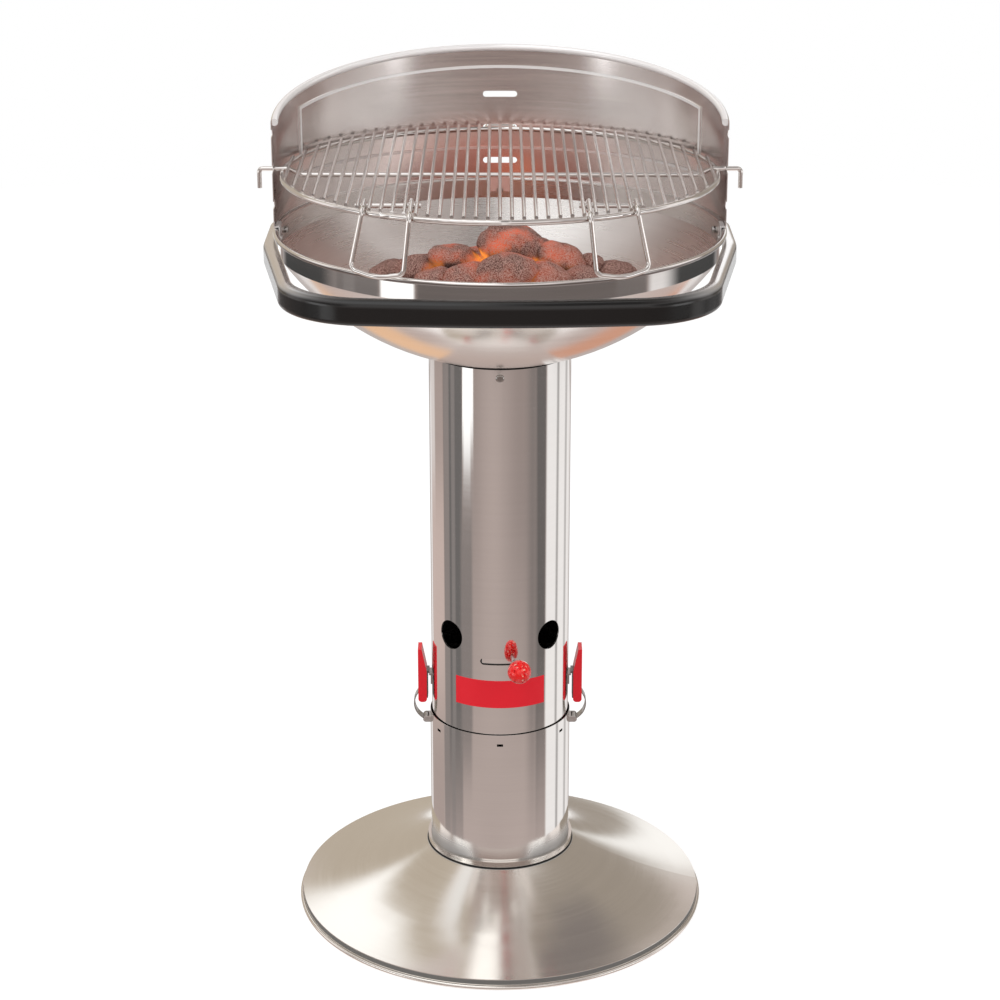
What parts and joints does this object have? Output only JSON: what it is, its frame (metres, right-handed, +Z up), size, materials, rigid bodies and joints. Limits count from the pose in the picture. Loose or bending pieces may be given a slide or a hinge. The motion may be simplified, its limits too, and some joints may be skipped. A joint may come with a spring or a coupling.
{
  "type": "charcoal grill",
  "caption": "Column charcoal grill: spun steel bowl with a curved wind guard and a hooked wire grate, black hand rail, clipped chimney tube with a red damper knob, and a round dished foot.",
  "frame": {"origin": "on the floor on the column's axis, in the plane of the foot's floor flange", "axes": "+Z up along the column, -Y towards the cook, +X to the right seen from the front"},
  "size_m": [0.524, 0.5406, 0.9659],
  "materials": {
    "polished_steel": "polished stainless sheet with fine drawn lines",
    "bowl_steel": "spun stainless sheet, satin inside and bright outside",
    "brushed_sheet": "stainless sheet brushed along its length",
    "plain_steel": "plain zinc-plated steel",
    "clip_steel": "bright spring steel",
    "bright_wire": "chromed steel wire",
    "black_rail": "satin black heat-resistant plastic",
    "red_grip": "glossy red plastic",
    "red_knob": "clear red cut plastic"
  },
  "bodies": {
    "stand": {"foot": "polished_steel", "foot_socket": "plain_steel", "foot_screws": "plain_steel", "lower_tube": "polished_steel", "water_pan": "plain_steel", "upper_tube": "polished_steel", "paper_grate": "bright_wire", "bowl": "bowl_steel", "bowl_collar": "plain_steel", "collar_screws": "plain_steel", "wind_guard": "brushed_sheet", "guard_bolts": "plain_steel", "guard_nut": "plain_steel", "hand_rail": "black_rail", "rail_bracket_left": "plain_steel", "rail_bracket_right": "plain_steel", "rail_bolts": "plain_steel", "clip_bracket_left": "plain_steel", "clip_bracket_right": "plain_steel", "clip_bracket_pin_left": "plain_steel", "clip_bracket_pin_right": "plain_steel", "clip_catch_left": "clip_steel", "clip_catch_right": "clip_steel"},
    "damper": {"damper_ring": "plain_steel", "damper_stem": "plain_steel", "damper_knob": "red_knob"},
    "grate": {"cooking_grate": "bright_wire"},
    "left_handle": {"grate_handle_left": "bright_wire"},
    "right_handle": {"grate_handle_right": "bright_wire"},
    "coal_grate": {"charcoal_grate": "bright_wire"},
    "left_strap": {"clip_strap_left": "clip_steel"},
    "right_strap": {"clip_strap_right": "clip_steel"},
    "left_lever": {"clip_lever_left": "clip_steel", "clip_grip_left": "red_grip", "clip_lever_pin_left": "plain_steel"},
    "right_lever": {"clip_lever_right": "clip_steel", "clip_grip_right": "red_grip", "clip_lever_pin_right": "plain_steel"}
  },
  "joints": [
    {"name": "damper_turn", "type": "hinge", "parent": "stand", "child": "damper", "pos_m": [0, 0, 0.327], "axis": [0, 0, 1], "range_deg": [-25, 0]},
    {"name": "grate_pull", "type": "slide", "parent": "stand", "child": "grate", "axis": [0, -1, 0], "range_m": [0, 0.3]},
    {"name": "left_handle_swing", "type": "hinge", "parent": "grate", "child": "left_handle", "pos_m": [-0.114, -0.163, 0.869], "axis": [-1, 0, 0], "range_deg": [0, 100]},
    {"name": "right_handle_swing", "type": "hinge", "parent": "grate", "child": "right_handle", "pos_m": [0.114, -0.163, 0.869], "axis": [-1, 0, 0], "range_deg": [0, 100]},
    {"name": "coal_grate_lift", "type": "slide", "parent": "stand", "child": "coal_grate", "axis": [0, 0, 1], "range_m": [0, 0.05]},
    {"name": "left_strap_swing", "type": "hinge", "parent": "stand", "child": "left_strap", "pos_m": [-0.086, 0, 0.224], "axis": [0, -1, 0], "range_deg": [0, 100]},
    {"name": "right_strap_swing", "type": "hinge", "parent": "stand", "child": "right_strap", "pos_m": [0.086, 0, 0.224], "axis": [0, 1, 0], "range_deg": [0, 100]},
    {"name": "left_lever_swing", "type": "hinge", "parent": "left_strap", "child": "left_lever", "pos_m": [-0.092, 0, 0.258], "axis": [0, -1, 0], "range_deg": [0, 90]},
    {"name": "right_lever_swing", "type": "hinge", "parent": "right_strap", "child": "right_lever", "pos_m": [0.092, 0, 0.258], "axis": [0, 1, 0], "range_deg": [0, 90]}
  ]
}
